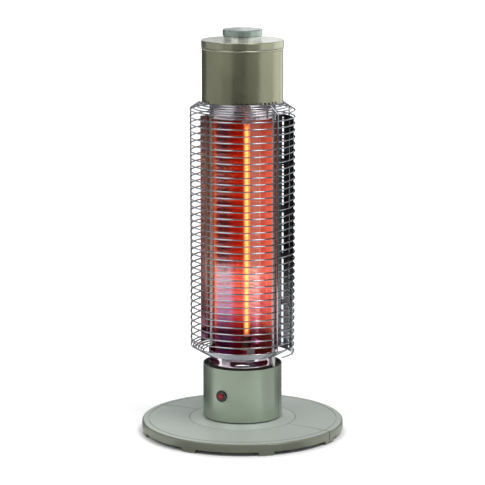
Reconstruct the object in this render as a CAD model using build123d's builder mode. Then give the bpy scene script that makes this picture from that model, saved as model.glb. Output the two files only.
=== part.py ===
"""Electric radiant tower heater with a wire guard, on a round base with a swivel column.

Millimetres. The origin is the centre of the base on the floor, +Z is up and the front faces -Y.
"""

from build123d import *
import os
from math import copysign, cos, degrees, radians, sin, sqrt

# Base
base_radius = 155.0
rim_height = 19.0
rim_edge_radius = 2.5
cover_wall = 2.5
cover_lift = 0.8
hub_radius = 81.5
hub_gap = 0.7
dome_rise = 1.7
dome_crown = 0.4
groove_inset = 10.0
groove_width = 1.0
groove_depth = 0.6
foot_count = 8
foot_width = 24.0
rim_slot_height = 6.0
cover_seam = 0.8
plate_gap = 5.5
plate_thickness = 3.0
pad_height = 6.5
pad_radius = 9.0
pad_inset = 13.0
pad_count = 6
pad_start_angle = 30.0
cover_boss_inset = 25.0
cover_boss_radius = 5.0
cover_boss_angles = (22.5, 67.5, 112.5, 157.5)

# Fasteners
screw_radius = 1.5
screw_head_radius = 3.0
screw_head_height = 1.8
screw_clearance = 0.1
screw_head_round = 0.5
screw_end_gap = 1.0
small_round = 1.0

# Swivel
hub_thickness = 3.0
hub_raise = 3.3
hub_flat_margin = 3.5
hub_boss_inset = 8.0
hub_boss_radius = 5.0
hub_boss_count = 4
hub_boss_start_angle = 45.0
swivel_gap = 2.0
spigot_radius = 20.0
cable_bore_radius = 12.0
swivel_clearance = 0.05
washer_width = 16.0
washer_clearance = 0.3
floor_thickness = 3.0
retainer_lip = 9.0
retainer_thickness = 2.0
retainer_play = 0.2
retainer_screw_count = 3
retainer_start_angle = 90.0
stop_pin_radius = 2.0
stop_circle = 45.0
stop_engagement = 2.4
stop_clearance = 0.4
swivel_half_angle = 35.0

# Tip-over switch
plunger_radius = 5.0
plunger_head_radius = 6.5
plunger_head_height = 1.5
plunger_travel = 4.0
plunger_clearance = 0.05
plunger_inset = 22.0
switch_wall = 1.2
switch_headroom = 0.5

# Column and head shells
column_radius = 60.5
column_height = 81.5
shell_wall = 1.5
shell_seam = 0.7
shell_half_angle = 97.0
plate_fit = 0.2
flange_height = 10.0
sheet_plate = 1.5
deck_drop = 6.5
vent_rows = 4
vent_pitch = 12.0
vent_height = 4.0
vent_first_height = 24.0
vent_start_angle = 16.0
vent_sweep = 56.0
rear_screw_angle = 26.0
head_radius = 61.4
head_bottom = 512.0
head_shell_height = 78.5
head_floor_lift = 1.0
edge_vent_count = 10
edge_vent_first_angle = 24.0
edge_vent_pitch_angle = 6.8
edge_vent_width = 4.0
edge_vent_height = 3.0

# Pilot lamp and cord gland
pilot_height = 66.0
pilot_flange_radius = 9.0
pilot_flange_height = 2.2
pilot_edge = 0.7
pilot_barrel_radius = 7.0
pilot_lens_radius = 5.8
pilot_lens_crown = 2.6
pilot_barrel_length = 9.0
pilot_lamp_length = 16.0
pilot_clearance = 0.1
gland_height = 66.0
gland_radius = 7.0
gland_flange_radius = 9.5
gland_flange = 2.5
gland_bore_radius = 3.8
gland_tail = 5.0

# Heating section
collar_wall = 1.0
lower_collar_radius = 52.0
lower_collar_height = 29.0
window_count = 4
window_sweep = 70.0
window_height = 8.5
window_middle = 14.0
upper_collar_radius = 49.0
upper_collar_height = 24.5
upper_lip_width = 3.0
post_radius = 2.5
post_offset = 56.0
reflector_wall = 0.8
reflector_half_mouth = 51.0
reflector_depth = 33.0
reflector_lip = 2.0
reflector_flange = 9.7
wing_length = 15.2
wing_turn = 30.0
reflector_bottom = 134.0
reflector_top = 486.0
reflector_post_gap = 0.3
reflector_deck_gap = 0.3
reflector_collar_gap = 0.5
lamp_setback = 12.0
tube_radius = 4.6
tube_wall = 0.8
tube_bottom = 138.0
tube_top = 484.0
filament_radius = 1.9
holder_radius = 7.0
holder_length = 20.0
holder_socket = 8.0
holder_clearance = 0.1
bracket_width = 14.0

# Guard and rear sheet
guard_radius = 79.0
ring_wire = 2.2
upright_wire = 2.4
weld_depth = 0.25
ring_pitch = 10.35
ring_count = 36
first_ring_height = 136.5
guard_seat_gap = 0.2
top_shoulder_rings = 4
bottom_shoulder_rings = 5
bottom_ring_gap = 8.0
bottom_shoulder_drop = 2.2
bottom_shoulder_half_angle = 98.0
rear_arc_half_angle = 100.0
side_upright_angles = (-18, 198)
rear_upright_angles = (60, 90, 120)
rear_upright_tail = 2.0
rear_sheet_wall = 0.8
rear_sheet_gap = 0.2
rear_sheet_half_angle = 68.0
rear_sheet_tail = 7.5
rear_sheet_top_margin = 13.0
rear_slot_rows = 5
rear_slot_columns = 8
rear_slot_column_angle = 14.6
rear_slot_width = 5.0
rear_slot_bridge = 8.0

# Head fittings
trim_ring_proud = 0.6
trim_ring_height = 2.8
trim_ring_depth = 3.5
trim_ring_round = 1.0
cap_groove = 0.8
cap_proud = 0.7
cap_height = 10.3
cap_wall = 1.8
cap_edge = 0.8
knob_seat_radius = 28.5
knob_seat_height = 5.5
knob_gap = 0.8
knob_radius = 29.8
knob_height = 9.6
knob_edge = 0.8
knob_socket_wall = 2.4
shaft_radius = 3.0
shaft_fit = 0.05
shaft_engagement = 6.0
bushing_radius = 5.0
switch_radius = 19.0
switch_height = 24.0
switch_base = 4.0
pointer_radius = 2.6
pointer_offset = 16.5
pointer_depth = 0.8
cutout_radius = 8.0
cutout_height = 9.0
cutout_offset = 32.0
cutout_tab = 1.0
terminal_size = (34.0, 16.0, 12.0)
terminal_offset = 38.0
terminal_well_radius = 2.0
terminal_well_depth = 6.0

# Radii and heights that follow from the sizes above
plate_radius = base_radius - cover_wall - plate_gap
groove_radius = base_radius - groove_inset
pad_circle = plate_radius - pad_inset
cover_boss_circle = plate_radius - cover_boss_inset
plunger_place = (0.0, plunger_inset - pad_circle)
hub_flat_radius = column_radius + hub_flat_margin
hub_boss_circle = hub_flat_radius - hub_boss_inset
plate_bottom = pad_height
plate_top = plate_bottom + plate_thickness
cover_top = rim_height + dome_rise
hub_top = cover_top + hub_raise
hub_bottom = hub_top - hub_thickness
column_bottom = hub_top + swivel_gap
column_top = column_bottom + column_height
floor_top = column_bottom + floor_thickness
spigot_top = floor_top + retainer_play
deck_top = column_top - deck_drop
deck_bottom = deck_top - sheet_plate
head_floor_bottom = head_bottom + head_floor_lift
head_floor_top = head_floor_bottom + sheet_plate
head_shell_top = head_bottom + head_shell_height
trim_ring_top = head_shell_top + trim_ring_height
cap_bottom = trim_ring_top + cap_groove
cap_top = cap_bottom + cap_height
knob_bottom = cap_top + knob_seat_height + knob_gap
knob_top = knob_bottom + knob_height
column_inner = column_radius - shell_wall
head_inner = head_radius - shell_wall
last_ring_height = first_ring_height + (ring_count - 1) * ring_pitch
post_setback = reflector_lip - reflector_post_gap - post_radius
front_angle = -90.0
rear_angle = 90.0

os.makedirs("parts", exist_ok=True)


def radial_plane(angle):
    """Plane through the Z axis whose local X is the radius and local Y is the height."""
    turn = radians(angle)
    return Plane(
        origin=(0, 0, 0),
        x_dir=(cos(turn), sin(turn), 0),
        z_dir=(sin(turn), -cos(turn), 0),
    )


def facing_plane(angle, radius, height):
    """Plane that faces outwards at a bearing, with its origin on the cylinder of that radius."""
    turn = radians(angle)
    outward = (cos(turn), sin(turn), 0)
    return Plane(
        origin=(radius * cos(turn), radius * sin(turn), height),
        x_dir=(-sin(turn), cos(turn), 0),
        z_dir=outward,
    )


def around(radius, bearings, height):
    """Points on a circle about the Z axis."""
    return [
        (radius * cos(radians(a)), radius * sin(radians(a)), height) for a in bearings
    ]


def even_bearings(count, start=0.0):
    """Evenly spaced bearings of a full circle."""
    return [start + 360.0 * i / count for i in range(count)]


def save(piece, name):
    """Label a finished piece and write it."""
    piece.part.label = name
    export_step(piece.part, f"parts/{name}.step")


def sector_ring(inner, outer, bottom, top, start, sweep, mode=Mode.ADD):
    """Part of a ring between two radii and two heights, from one bearing over a sweep."""
    with BuildSketch(radial_plane(start)) as section:
        with Locations(((inner + outer) / 2, (bottom + top) / 2)):
            Rectangle(outer - inner, top - bottom)
    revolve(section.sketch, axis=Axis.Z, revolution_arc=sweep, mode=mode)


def disc(inner, outer, bottom, top, mode=Mode.ADD):
    """Flat round plate with a central hole, or none where the inner radius is zero."""
    with BuildSketch(Plane.XY.offset(bottom)) as outline:
        Circle(outer)
        if inner > 0:
            Circle(inner, mode=Mode.SUBTRACT)
    extrude(outline.sketch, amount=top - bottom, mode=mode)


def round_pins(points, radius, length, mode=Mode.ADD):
    """Upright round pins that start at the given points."""
    with Locations(*points):
        Cylinder(
            radius, length, align=(Align.CENTER, Align.CENTER, Align.MIN), mode=mode
        )


def screws_from_below(name, points, shank):
    """Group of screws that stand head down, with the head under the given points."""
    with BuildPart() as screws:
        heads = [(x, y, z - screw_head_height) for x, y, z in points]
        round_pins(heads, screw_head_radius, screw_head_height)
        round_pins(points, screw_radius, shank)
        fillet(
            screws.faces().group_by(Axis.Z)[0].edges(),
            radius=screw_head_round,
        )
    save(screws, name)


# Base covers: a domed ring with a skirt, split along the lateral line
hub_hole_radius = hub_radius + hub_gap
crown_start = base_radius - rim_edge_radius
dome_slope = dome_rise / (crown_start - hub_hole_radius)
seam_angle = degrees(cover_seam / 2 / hub_hole_radius)
foot_angle = degrees(foot_width / base_radius)
foot_pitch = 360.0 / foot_count
boss_hole = screw_radius + screw_clearance


def dome_height(radius):
    """Height of the cover's outside along the straight line of its dome."""
    return rim_height + (crown_start - radius) * dome_slope


def base_cover(name, start):
    """Half of the base cover, from one bearing over half a turn."""
    middle = (crown_start + hub_hole_radius) / 2
    inner_skirt = base_radius - cover_wall
    with BuildPart() as cover:
        with BuildSketch(radial_plane(start + seam_angle)):
            with BuildLine():
                edge_start = (base_radius, rim_height - rim_edge_radius)
                edge_end = (crown_start, rim_height)
                RadiusArc(edge_start, edge_end, -rim_edge_radius)
                ThreePointArc(
                    edge_end,
                    (middle, dome_height(middle) + dome_crown),
                    (hub_hole_radius, cover_top),
                )
                Line((hub_hole_radius, cover_top), (hub_hole_radius, cover_top - cover_wall))
                ThreePointArc(
                    (hub_hole_radius, cover_top - cover_wall),
                    (middle, dome_height(middle) + dome_crown - cover_wall),
                    (inner_skirt, rim_height - cover_wall),
                )
                Polyline(
                    (inner_skirt, rim_height - cover_wall),
                    (inner_skirt, cover_lift),
                    (base_radius, cover_lift),
                    edge_start,
                )
            make_face()
            with Locations((groove_radius, dome_height(groove_radius))):
                Rectangle(groove_width, 2 * groove_depth, mode=Mode.SUBTRACT)
        revolve(axis=Axis.Z, revolution_arc=180 - 2 * seam_angle)
        bosses = around(
            cover_boss_circle, [start + a for a in cover_boss_angles], plate_top
        )
        boss_length = dome_height(cover_boss_circle) - cover_wall / 2 - plate_top
        round_pins(bosses, cover_boss_radius, boss_length)
        hole_length = boss_length - cover_wall
        round_pins(bosses, boss_hole, hole_length, mode=Mode.SUBTRACT)
        for i in range(foot_count // 2):
            sector_ring(
                inner_skirt - cover_wall,
                base_radius + cover_wall,
                0,
                rim_slot_height,
                start + i * foot_pitch + foot_angle / 2,
                foot_pitch - foot_angle,
                mode=Mode.SUBTRACT,
            )
    save(cover, name)


base_cover("base_front", 180.0)
base_cover("base_rear", 0.0)

cover_boss_points = around(
    cover_boss_circle,
    [half + a for half in (0.0, 180.0) for a in cover_boss_angles],
    plate_bottom,
)
hub_boss_points = around(
    hub_boss_circle, even_bearings(hub_boss_count, hub_boss_start_angle), plate_bottom
)
plunger_x, plunger_y = plunger_place
plunger_bore = plunger_radius + plunger_clearance

# Ballast plate
with BuildPart() as base_plate:
    disc(cable_bore_radius, plate_radius, plate_bottom, plate_top)
    round_pins(
        cover_boss_points + hub_boss_points,
        boss_hole,
        plate_thickness,
        mode=Mode.SUBTRACT,
    )
    round_pins(
        [(plunger_x, plunger_y, plate_bottom)],
        plunger_bore,
        plate_thickness,
        mode=Mode.SUBTRACT,
    )
save(base_plate, "base_plate")

# Rubber pads under the plate
with BuildPart() as rubber_feet:
    round_pins(
        around(pad_circle, even_bearings(pad_count, pad_start_angle), 0.0),
        pad_radius,
        pad_height,
    )
    chamfer(rubber_feet.faces().group_by(Axis.Z)[0].edges(), length=small_round)
save(rubber_feet, "rubber_feet")

cover_screw_grip = dome_height(cover_boss_circle) - 2 * cover_wall - plate_bottom
screws_from_below("base_screws", cover_boss_points, cover_screw_grip)
screws_from_below("hub_screws", hub_boss_points, hub_bottom - plate_bottom - screw_end_gap)

# Hub: raised centre plate of the base with a sloping edge, the swivel spigot and the arc slot of
# the turning stop
stop_slot_radius = stop_pin_radius + stop_clearance
retainer_screw_circle = (spigot_radius + cable_bore_radius) / 2
retainer_screw_points = around(
    retainer_screw_circle,
    even_bearings(retainer_screw_count, retainer_start_angle),
    spigot_top,
)
retainer_screw_length = hub_thickness + swivel_gap
with BuildPart() as base_hub:
    with BuildSketch(radial_plane(0)):
        with BuildLine():
            Polyline(
                (cable_bore_radius, hub_bottom),
                (cable_bore_radius, spigot_top),
                (spigot_radius, spigot_top),
                (spigot_radius, hub_top),
                (hub_flat_radius, hub_top),
                (hub_radius, cover_top),
                (hub_radius, cover_top - hub_thickness),
                (hub_flat_radius, hub_bottom),
                close=True,
            )
        make_face()
    revolve(axis=Axis.Z)
    hub_bosses = [(x, y, plate_top) for x, y, z in hub_boss_points]
    round_pins(hub_bosses, hub_boss_radius, hub_bottom - plate_top)
    round_pins(hub_bosses, boss_hole, hub_bottom - plate_top, mode=Mode.SUBTRACT)
    round_pins(
        [(x, y, z - retainer_screw_length) for x, y, z in retainer_screw_points],
        boss_hole,
        retainer_screw_length,
        mode=Mode.SUBTRACT,
    )
    sector_ring(
        stop_circle - stop_slot_radius,
        stop_circle + stop_slot_radius,
        hub_bottom,
        hub_top,
        front_angle - swivel_half_angle,
        2 * swivel_half_angle,
        mode=Mode.SUBTRACT,
    )
    slot_ends = around(
        stop_circle,
        (front_angle - swivel_half_angle, front_angle + swivel_half_angle),
        hub_bottom,
    )
    round_pins(slot_ends, stop_slot_radius, hub_thickness, mode=Mode.SUBTRACT)
save(base_hub, "base_hub")

# Tip-over switch: a housing on the plate round the head of a plunger that the floor holds up
plunger_head_bottom = plate_top + plunger_travel
plunger_top = plunger_head_bottom + plunger_head_height
switch_bore = plunger_head_radius + plunger_clearance
switch_top = plunger_top + switch_headroom + switch_wall
with BuildPart() as tipover_switch:
    with BuildSketch(Plane.XY.offset(plate_top)):
        with Locations(plunger_place):
            RectangleRounded(
                2 * (switch_bore + 2 * switch_wall),
                2 * (switch_bore + switch_wall),
                switch_wall,
            )
    extrude(amount=switch_top - plate_top)
    round_pins(
        [(plunger_x, plunger_y, plate_top)],
        switch_bore,
        plunger_top + switch_headroom - plate_top,
        mode=Mode.SUBTRACT,
    )
save(tipover_switch, "tipover_switch")

with BuildPart() as tipover_plunger:
    round_pins([(plunger_x, plunger_y, 0.0)], plunger_radius, plunger_top)
    round_pins(
        [(plunger_x, plunger_y, plunger_head_bottom)],
        plunger_head_radius,
        plunger_head_height,
    )
    fillet(tipover_plunger.faces().sort_by(Axis.Z)[0].edges(), radius=small_round)
save(tipover_plunger, "tipover_plunger")

# Swivel: washer, turning floor, retainer
with BuildPart() as thrust_washer:
    disc(
        spigot_radius + washer_clearance,
        spigot_radius + washer_width,
        hub_top,
        column_bottom,
    )
save(thrust_washer, "thrust_washer")

floor_radius = column_inner - plate_fit
rear_screw_bearings = (rear_angle - rear_screw_angle, rear_angle + rear_screw_angle)


def radial_screw_holes(radius, depth, height, bearings):
    """Round holes bored inwards through a wall at the given height and bearings."""
    for bearing in bearings:
        with BuildSketch(facing_plane(bearing, radius, height)) as hole:
            Circle(boss_hole)
        extrude(hole.sketch, amount=-depth, mode=Mode.SUBTRACT)


floor_screw_height = floor_top + flange_height / 2
deck_screw_height = deck_bottom - flange_height / 2
head_screw_height = head_floor_top + flange_height / 2

with BuildPart() as column_floor:
    disc(spigot_radius + swivel_clearance, floor_radius, column_bottom, floor_top)
    disc(
        floor_radius - sheet_plate, floor_radius, column_bottom, floor_top + flange_height
    )
    stop_pin_bottom = hub_top - stop_engagement
    round_pins(
        around(stop_circle, (front_angle,), stop_pin_bottom),
        stop_pin_radius,
        column_bottom - stop_pin_bottom + floor_thickness / 2,
    )
    radial_screw_holes(
        column_radius, 3 * shell_wall, floor_screw_height, rear_screw_bearings
    )
save(column_floor, "column_floor")

with BuildPart() as swivel_retainer:
    disc(
        cable_bore_radius,
        spigot_radius + retainer_lip,
        spigot_top,
        spigot_top + retainer_thickness,
    )
    round_pins(retainer_screw_points, boss_hole, retainer_thickness, mode=Mode.SUBTRACT)
save(swivel_retainer, "swivel_retainer")

with BuildPart() as retainer_screws:
    retainer_top = spigot_top + retainer_thickness
    shank_bottom = spigot_top - retainer_screw_length + screw_end_gap
    round_pins(
        [(x, y, shank_bottom) for x, y, z in retainer_screw_points],
        screw_radius,
        retainer_top - shank_bottom,
    )
    round_pins(
        [(x, y, retainer_top) for x, y, z in retainer_screw_points],
        screw_head_radius,
        screw_head_height,
    )
save(retainer_screws, "retainer_screws")

# Column shells
seam_sweep = degrees(shell_seam / column_radius)
front_start = front_angle - shell_half_angle
front_sweep = 2 * shell_half_angle
rear_start = front_angle + shell_half_angle + seam_sweep
rear_sweep = 360.0 - front_sweep - 2 * seam_sweep
pilot_plane = facing_plane(front_angle, column_radius, pilot_height)
gland_plane = facing_plane(rear_angle, column_radius, gland_height)

with BuildPart() as column_front:
    sector_ring(
        column_inner, column_radius, column_bottom, column_top, front_start, front_sweep
    )
    with BuildSketch(pilot_plane):
        Circle(pilot_barrel_radius + pilot_clearance)
    extrude(amount=-4 * shell_wall, mode=Mode.SUBTRACT)
save(column_front, "column_front")

with BuildPart() as column_rear:
    sector_ring(
        column_inner, column_radius, column_bottom, column_top, rear_start, rear_sweep
    )
    for row in range(vent_rows):
        vent_bottom = column_bottom + vent_first_height + row * vent_pitch
        for vent_start in (
            rear_angle + vent_start_angle,
            rear_angle - vent_start_angle - vent_sweep,
        ):
            sector_ring(
                column_inner - shell_wall,
                column_radius + shell_wall,
                vent_bottom,
                vent_bottom + vent_height,
                vent_start,
                vent_sweep,
                mode=Mode.SUBTRACT,
            )
    with BuildSketch(gland_plane):
        Circle(gland_radius + pilot_clearance)
    extrude(amount=-4 * shell_wall, mode=Mode.SUBTRACT)
    radial_screw_holes(
        column_radius, 2 * shell_wall, floor_screw_height, rear_screw_bearings
    )
    radial_screw_holes(
        column_radius, 2 * shell_wall, deck_screw_height, rear_screw_bearings
    )
save(column_rear, "column_rear")

# Pilot lamp: bezel with a flange that follows the column, red lens and lamp body
with BuildPart() as pilot_bezel:
    with BuildSketch(pilot_plane):
        Circle(pilot_flange_radius)
    extrude(amount=pilot_flange_height)
    chamfer(pilot_bezel.faces().sort_by(Axis.Y)[0].edges(), length=pilot_edge)
    with BuildSketch(pilot_plane):
        Circle(pilot_flange_radius)
    extrude(amount=-shell_wall)
    with Locations((0, 0, pilot_height)):
        Cylinder(column_radius, 4 * pilot_flange_radius, mode=Mode.SUBTRACT)
    with BuildSketch(pilot_plane.offset(pilot_flange_height / 2)):
        Circle(pilot_barrel_radius)
    extrude(amount=-pilot_barrel_length)
    with BuildSketch(pilot_plane.offset(pilot_flange_height)):
        Circle(pilot_lens_radius + pilot_clearance)
    extrude(amount=-2 * pilot_barrel_length, mode=Mode.SUBTRACT)
save(pilot_bezel, "pilot_bezel")

lens_front = column_radius + pilot_flange_height
with BuildPart() as pilot_lens:
    with BuildSketch(Plane.YZ):
        with BuildLine():
            centre_back = (-lens_front + pilot_flange_height, pilot_height)
            rim_back = (-lens_front + pilot_flange_height, pilot_height + pilot_lens_radius)
            rim_front = (-lens_front, pilot_height + pilot_lens_radius)
            crown = (-lens_front - pilot_lens_crown, pilot_height)
            Polyline(centre_back, rim_back, rim_front)
            TangentArc(crown, rim_front, tangent=(0, 1))
            Line(crown, centre_back)
        make_face()
    revolve(axis=Axis((0, 0, pilot_height), (0, 1, 0)))
save(pilot_lens, "pilot_lens")

with BuildPart() as pilot_lamp:
    with BuildSketch(pilot_plane):
        Circle(pilot_lens_radius)
    extrude(amount=-pilot_lamp_length)
save(pilot_lamp, "pilot_lamp")

# Bush of the mains lead in the rear cover
with BuildPart() as cord_gland:
    with BuildSketch(gland_plane):
        Circle(gland_flange_radius)
    extrude(amount=gland_flange)
    fillet(cord_gland.faces().sort_by(Axis.Y)[-1].edges(), radius=small_round)
    with BuildSketch(gland_plane):
        Circle(gland_flange_radius)
    extrude(amount=-shell_wall)
    with Locations((0, 0, gland_height)):
        Cylinder(column_radius, 4 * gland_flange_radius, mode=Mode.SUBTRACT)
    with BuildSketch(gland_plane.offset(gland_flange / 2)):
        Circle(gland_radius)
    extrude(amount=-gland_tail)
    with BuildSketch(gland_plane.offset(2 * gland_flange)):
        Circle(gland_bore_radius)
    extrude(amount=-4 * gland_tail, mode=Mode.SUBTRACT)
save(cord_gland, "cord_gland")

# Terminal block on the turning floor
with BuildPart() as terminal_block:
    with BuildSketch(Plane.XY.offset(floor_top)):
        with Locations((0, terminal_offset)):
            RectangleRounded(terminal_size[0], terminal_size[1], small_round)
    extrude(amount=terminal_size[2])
    with GridLocations(terminal_size[0] / 3, terminal_size[1] / 2, 3, 2):
        with Locations((0, terminal_offset, floor_top + terminal_size[2])):
            Cylinder(terminal_well_radius, 2 * terminal_well_depth, mode=Mode.SUBTRACT)
save(terminal_block, "terminal_block")

# Deck plate: a cup that closes the top of the column
deck_radius = column_inner - plate_fit
with BuildPart() as column_deck:
    disc(cable_bore_radius, deck_radius, deck_bottom, deck_top)
    disc(deck_radius - sheet_plate, deck_radius, deck_bottom - flange_height, deck_top)
    radial_screw_holes(
        column_radius, 3 * shell_wall, deck_screw_height, rear_screw_bearings
    )
save(column_deck, "column_deck")


def collar_windows(radius, middle):
    """Obround windows through a collar, with a bridge at the front, the back and the sides."""
    end_angle = degrees(window_height / 2 / radius)
    for i in range(window_count):
        start = front_angle + 360.0 / window_count * (i + 0.5) - window_sweep / 2
        sector_ring(
            radius - 3 * collar_wall,
            radius + 2 * collar_wall,
            middle - window_height / 2,
            middle + window_height / 2,
            start + end_angle,
            window_sweep - 2 * end_angle,
            mode=Mode.SUBTRACT,
        )
        for end in (start + end_angle, start + window_sweep - end_angle):
            with BuildSketch(facing_plane(end, radius + 2 * collar_wall, middle)) as hole:
                Circle(window_height / 2)
            extrude(hole.sketch, amount=-5 * collar_wall, mode=Mode.SUBTRACT)


# Polished collars below and above the reflector
lower_collar_top = deck_top + lower_collar_height
with BuildPart() as lower_collar:
    disc(
        lower_collar_radius - collar_wall, lower_collar_radius, deck_top, lower_collar_top
    )
    collar_windows(lower_collar_radius, deck_top + window_middle)
save(lower_collar, "lower_collar")

upper_collar_bottom = head_floor_bottom - upper_collar_height
with BuildPart() as upper_collar:
    disc(
        upper_collar_radius - collar_wall,
        upper_collar_radius,
        upper_collar_bottom,
        head_floor_bottom,
    )
    disc(
        upper_collar_radius - collar_wall,
        upper_collar_radius + upper_lip_width,
        upper_collar_bottom,
        upper_collar_bottom + collar_wall,
    )
save(upper_collar, "upper_collar")

# Posts between the deck and the floor of the head
for side, name in ((-1, "post_left"), (1, "post_right")):
    with BuildPart() as post:
        round_pins(
            [(side * post_offset, post_setback, deck_top)],
            post_radius,
            head_floor_bottom - deck_top,
        )
    save(post, name)

# Reflector: parabolic trough, flat flanges behind the posts, wings turned forwards, and a tongue of
# the trough that stands in the lower collar
reflector_back = reflector_lip + reflector_depth
flange_end = reflector_half_mouth + reflector_flange
wing_x = sin(radians(wing_turn))
wing_y = -cos(radians(wing_turn))
back_lip = reflector_lip + reflector_wall
wing_outer_x = flange_end + reflector_wall * (1 - wing_x) / -wing_y


def trough(half_mouth, lip, back):
    """Control points of the parabola through two lips and the back of the trough."""
    return [(-half_mouth, lip), (0, 2 * back - lip), (half_mouth, lip)]


with BuildPart() as reflector:
    with BuildSketch(Plane.XY.offset(reflector_bottom)):
        with BuildLine():
            front_lip = trough(reflector_half_mouth, reflector_lip, reflector_back)
            rear_lip = trough(
                reflector_half_mouth + reflector_wall,
                back_lip,
                reflector_back + reflector_wall,
            )
            Bezier(*front_lip)
            Bezier(*rear_lip)
            for side in (-1, 1):
                tip_x = flange_end + wing_length * wing_x
                tip_y = reflector_lip + wing_length * wing_y
                Polyline(
                    (side * reflector_half_mouth, reflector_lip),
                    (side * flange_end, reflector_lip),
                    (side * tip_x, tip_y),
                    (
                        side * (tip_x - reflector_wall * wing_y),
                        tip_y + reflector_wall * wing_x,
                    ),
                    (side * wing_outer_x, back_lip),
                    (side * (reflector_half_mouth + reflector_wall), back_lip),
                )
        make_face()
    extrude(amount=reflector_top - reflector_bottom)
    tongue_bottom = deck_top + reflector_deck_gap
    with BuildSketch(Plane.XY.offset(tongue_bottom)):
        with BuildLine():
            Bezier(*front_lip)
            Bezier(*rear_lip)
            for side in (-1, 1):
                Line(
                    (side * reflector_half_mouth, reflector_lip),
                    (side * (reflector_half_mouth + reflector_wall), back_lip),
                )
        make_face()
        Circle(
            lower_collar_radius - collar_wall - reflector_collar_gap, mode=Mode.INTERSECT
        )
    extrude(amount=reflector_bottom - tongue_bottom)
save(reflector, "reflector")

# Lamp: quartz tube with the filament, a ceramic holder at each end and the strips that carry them
lamp_place = (0.0, lamp_setback)
lamp_plane = Plane.XY.offset(tube_bottom)
with BuildPart() as quartz_tube:
    with BuildSketch(lamp_plane):
        with Locations(lamp_place):
            Circle(tube_radius)
            Circle(tube_radius - tube_wall, mode=Mode.SUBTRACT)
    extrude(amount=tube_top - tube_bottom)
save(quartz_tube, "quartz_tube")

holder_floor = holder_length - holder_socket
lower_holder_bottom = tube_bottom - holder_floor
upper_holder_top = tube_top + holder_floor
with BuildPart() as filament:
    round_pins(
        [(0, lamp_setback, tube_bottom)], filament_radius, tube_top - tube_bottom
    )
save(filament, "filament")


def lamp_holder(name, bottom, socket_bottom):
    """Ceramic holder with a socket for the end of the tube."""
    with BuildPart() as holder:
        round_pins([(0, lamp_setback, bottom)], holder_radius, holder_length)
        round_pins(
            [(0, lamp_setback, socket_bottom)],
            tube_radius + holder_clearance,
            holder_socket,
            mode=Mode.SUBTRACT,
        )
    save(holder, name)


lamp_holder("lower_holder", lower_holder_bottom, tube_bottom)
lamp_holder("upper_holder", upper_holder_top - holder_length, tube_top - holder_socket)


def lamp_strip(name, low, high):
    """Bent strip with a foot at each end and an upright between them, behind the lamp's axis."""
    foot_length = holder_radius + bracket_width / 2
    with BuildPart() as strip:
        for z in (low, high - sheet_plate):
            with BuildSketch(Plane.XY.offset(z)):
                with Locations((0, lamp_setback + foot_length / 2 - holder_radius / 2)):
                    Rectangle(bracket_width, foot_length + holder_radius)
            extrude(amount=sheet_plate)
        with BuildSketch(Plane.XY.offset(low)):
            with Locations((0, lamp_setback + foot_length - sheet_plate / 2)):
                Rectangle(bracket_width, sheet_plate)
        extrude(amount=high - low)
    save(strip, name)


lamp_strip("lamp_bracket", deck_top, lower_holder_bottom)
lamp_strip("lamp_hanger", upper_holder_top, head_floor_bottom)


# Guard rings: a straight stack, a shoulder that seats under the head, a lower shoulder that is
# open at the rear, and one more arc low at the rear
top_seat_radius = head_radius - shell_wall / 2
top_seat_height = head_bottom - guard_seat_gap - ring_wire / 2
top_shoulder_step = (guard_radius - top_seat_radius) / top_shoulder_rings
top_shoulder_rise = (top_seat_height - last_ring_height) / top_shoulder_rings
bottom_ring_radius = lower_collar_radius + bottom_ring_gap
bottom_shoulder_step = (guard_radius - bottom_ring_radius) / bottom_shoulder_rings
rear_arc_height = first_ring_height - ring_pitch


def shoulder_levels(count, start_height, step, rise):
    """Radius and height of each ring of a shoulder, counted from the straight stack."""
    return [(guard_radius - i * step, start_height + i * rise) for i in range(1, count + 1)]


def wire_arc(radius, height, middle, half_angle):
    """Part of a ring of round wire, to both sides of a bearing."""
    with BuildSketch(radial_plane(middle - half_angle)) as section:
        with Locations((radius, height)):
            Circle(ring_wire / 2)
    revolve(section.sketch, axis=Axis.Z, revolution_arc=2 * half_angle)


top_shoulder = shoulder_levels(
    top_shoulder_rings, last_ring_height, top_shoulder_step, top_shoulder_rise
)
bottom_shoulder = shoulder_levels(
    bottom_shoulder_rings, first_ring_height, bottom_shoulder_step, -bottom_shoulder_drop
)
straight_stack = [
    (guard_radius, first_ring_height + i * ring_pitch) for i in range(ring_count)
]
third = ring_count // 3


def full_rings(levels):
    """Closed rings of round wire at the given radii and heights."""
    for radius, height in levels:
        with Locations((0, 0, height)):
            Torus(radius, ring_wire / 2)


with BuildPart() as guard_rings_low:
    full_rings(straight_stack[:third])
    for radius, height in bottom_shoulder:
        wire_arc(radius, height, front_angle, bottom_shoulder_half_angle)
    wire_arc(guard_radius, rear_arc_height, rear_angle, rear_arc_half_angle)
save(guard_rings_low, "guard_rings_low")

with BuildPart() as guard_rings_middle:
    full_rings(straight_stack[third : 2 * third])
save(guard_rings_middle, "guard_rings_middle")

with BuildPart() as guard_rings_high:
    full_rings(straight_stack[2 * third :] + top_shoulder)
save(guard_rings_high, "guard_rings_high")

# Guard uprights: wires welded to the outside of the rings and bent along the shoulders
weld_inset = (ring_wire + upright_wire) / 2 - weld_depth
upright_radius = guard_radius + weld_inset


def shoulder_route(ring, stack_height):
    """Corner and end of an upright that runs along the outside of a shoulder's rings."""
    radius, height = ring
    run = guard_radius - radius
    rise = height - stack_height
    shift = weld_inset / sqrt(run**2 + rise**2)
    end = (radius + abs(rise) * shift, height + copysign(run, rise) * shift)
    return [(upright_radius, end[1] - (upright_radius - end[0]) * rise / run), end]


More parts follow.
